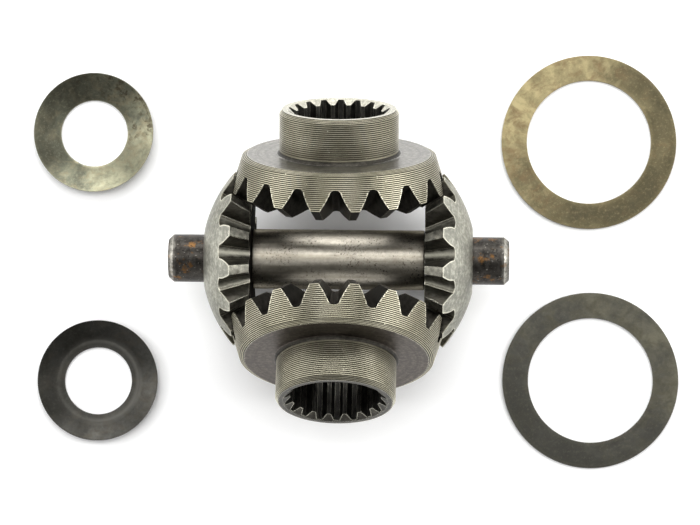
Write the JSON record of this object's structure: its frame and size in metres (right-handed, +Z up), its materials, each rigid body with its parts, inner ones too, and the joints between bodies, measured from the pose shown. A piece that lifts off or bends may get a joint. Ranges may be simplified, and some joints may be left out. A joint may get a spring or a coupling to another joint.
{
  "type": "differential gear set",
  "caption": "Bevel gears of a car differential, loose: splined side gears in mesh with pinions on a cross pin, with a spacer and thrust washers.",
  "frame": {"origin": "on the table, under the middle of the whole layout", "axes": "+X along the cross pin, from left pinion to right pinion; +Y from the lower side gear to the upper one; +Z up from the table"},
  "size_m": [0.2222, 0.142, 0.0711],
  "materials": {
    "turned_steel": "fine turned grooves, satin, bright worn edges",
    "pinion_steel": "satin turned back, dark tooth flanks with bright worn edges",
    "weathered_pin_steel": "dark oxidised steel with small rust spots",
    "ground_sleeve_steel": "ground, slightly stained, glossy",
    "olive_washer_steel": "grey olive steel with pale tan stains",
    "charcoal_washer_steel": "dark phosphate finish, satin",
    "tan_washer_steel": "brown and olive mottled steel",
    "grey_washer_steel": "dark grey-green satin steel"
  },
  "bodies": {
    "carrier_pin": {"cross_pin": "weathered_pin_steel"},
    "upper_side": {"upper_side_gear": "turned_steel"},
    "lower_side": {"lower_side_gear": "turned_steel"},
    "left_spider": {"left_pinion": "pinion_steel"},
    "right_spider": {"right_pinion": "pinion_steel"},
    "spacer": {"spacer_sleeve": "ground_sleeve_steel"},
    "upper_left_dished": {"upper_left_dished_washer": "olive_washer_steel"},
    "lower_left_dished": {"lower_left_dished_washer": "charcoal_washer_steel"},
    "upper_right_flat": {"upper_right_flat_washer": "tan_washer_steel"},
    "lower_right_flat": {"lower_right_flat_washer": "grey_washer_steel"}
  },
  "joints": [
    {"name": "upper_side_spin", "type": "hinge", "parent": "carrier_pin", "child": "upper_side", "pos_m": [-0.00445, -0.003, 0.02881], "axis": [0, 0.9439, 0.3303], "continuous": true},
    {"name": "lower_side_spin", "type": "hinge", "parent": "carrier_pin", "child": "lower_side", "pos_m": [-0.00445, -0.003, 0.02881], "axis": [0, -0.9439, 0.3303], "continuous": true},
    {"name": "left_pinion_spin", "type": "hinge", "parent": "carrier_pin", "child": "left_spider", "pos_m": [-0.00445, -0.003, 0.02881], "axis": [1, 0, 0], "continuous": true},
    {"name": "right_pinion_spin", "type": "hinge", "parent": "carrier_pin", "child": "right_spider", "pos_m": [-0.00445, -0.003, 0.02881], "axis": [1, 0, 0], "continuous": true},
    {"name": "sleeve_spin", "type": "hinge", "parent": "carrier_pin", "child": "spacer", "pos_m": [-0.00445, -0.003, 0.02881], "axis": [1, 0, 0], "continuous": true},
    {"name": "upper_left_dished_lift", "type": "slide", "parent": "carrier_pin", "child": "upper_left_dished", "axis": [0, 0, 1], "range_m": [0, 0.05]},
    {"name": "lower_left_dished_lift", "type": "slide", "parent": "carrier_pin", "child": "lower_left_dished", "axis": [0, 0, 1], "range_m": [0, 0.05]},
    {"name": "upper_right_flat_lift", "type": "slide", "parent": "carrier_pin", "child": "upper_right_flat", "axis": [0, 0, 1], "range_m": [0, 0.05]},
    {"name": "lower_right_flat_lift", "type": "slide", "parent": "carrier_pin", "child": "lower_right_flat", "axis": [0, 0, 1], "range_m": [0, 0.05]}
  ],
  "couplings": [
    {"joint": "lower_side_spin", "follows": "upper_side_spin", "ratio": 1},
    {"joint": "left_pinion_spin", "follows": "upper_side_spin", "ratio": 1.2143},
    {"joint": "right_pinion_spin", "follows": "upper_side_spin", "ratio": -1.2143}
  ]
}
